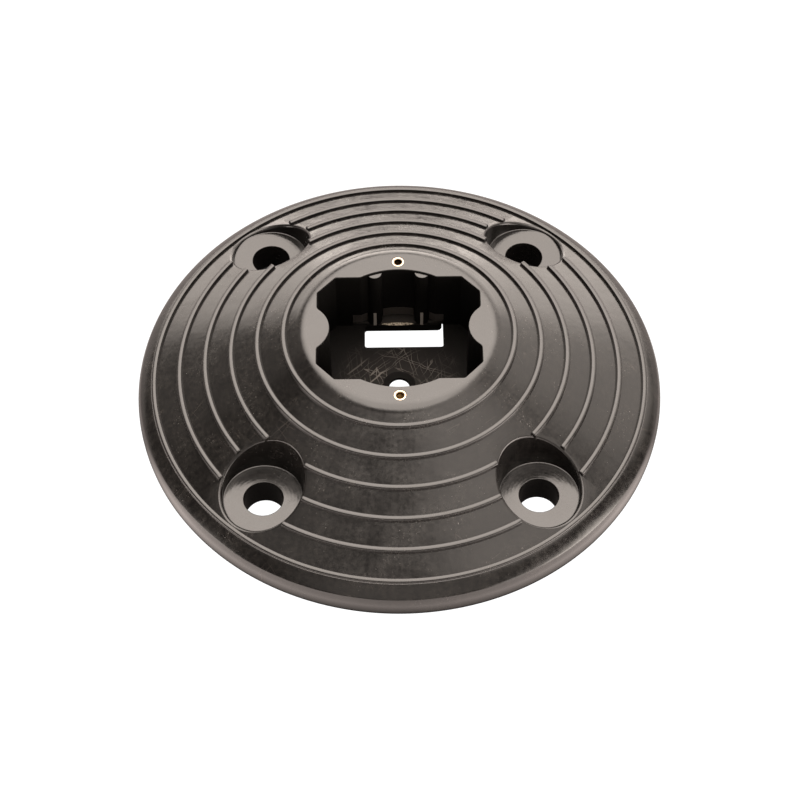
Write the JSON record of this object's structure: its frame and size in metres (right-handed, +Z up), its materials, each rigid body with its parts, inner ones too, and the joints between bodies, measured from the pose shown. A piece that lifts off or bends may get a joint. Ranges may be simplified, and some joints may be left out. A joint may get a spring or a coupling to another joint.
{
  "type": "delineator base",
  "caption": "Low ribbed cone that bolts to the road and holds a delineator post in a lobed socket, with bolt pockets round it and threaded inserts in its hub.",
  "frame": {"origin": "on the base's axis, at the road surface", "axes": "+Z up along the base's axis, +Y towards the latch side of the post socket, +X to the right seen from the front"},
  "size_m": [0.203, 0.203, 0.0408],
  "materials": {
    "moulding": "satin black, as moulded",
    "insert": "machined"
  },
  "bodies": {
    "root": {"base_moulding": "moulding", "front_thread_insert": "insert", "rear_thread_insert": "insert"}
  },
  "joints": []
}
